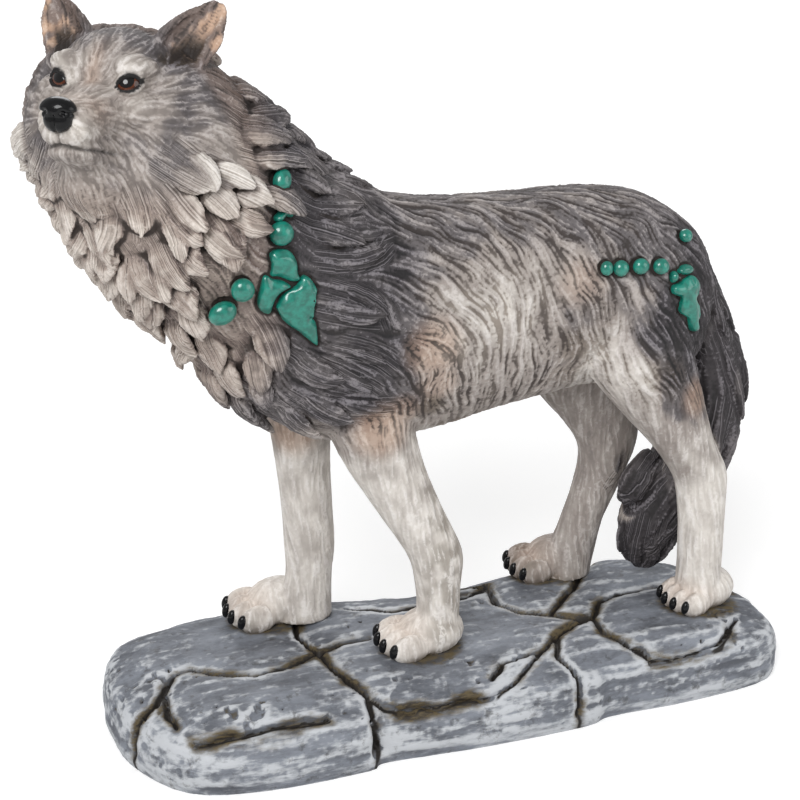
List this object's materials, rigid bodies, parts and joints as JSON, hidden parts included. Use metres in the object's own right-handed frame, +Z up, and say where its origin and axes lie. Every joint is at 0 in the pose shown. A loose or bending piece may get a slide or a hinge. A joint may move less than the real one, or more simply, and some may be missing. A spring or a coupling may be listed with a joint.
{
  "type": "wolf figurine",
  "caption": "Cast resin wolf standing on a slab of cracked flagstones, with a carved mane and turquoise beads in relief.",
  "frame": {"origin": "centre of the slab's flat underside", "axes": "+Z up, -X the way the wolf faces, -Y its left side"},
  "size_m": [0.2193, 0.0761, 0.2168],
  "materials": {
    "painted_resin": "matt hand-painted resin, grey and cream fur with a dark wash",
    "painted_stone": "matt painted resin, blue-grey stone dry-brushed with white",
    "turquoise_paint": "gloss varnish over teal paint",
    "gloss_black": "gloss black paint on the nose and claws",
    "amber_eye": "gloss varnish over a painted amber iris and a black pupil"
  },
  "bodies": {
    "root": {"wolf_figurine": "painted_resin"}
  },
  "joints": []
}
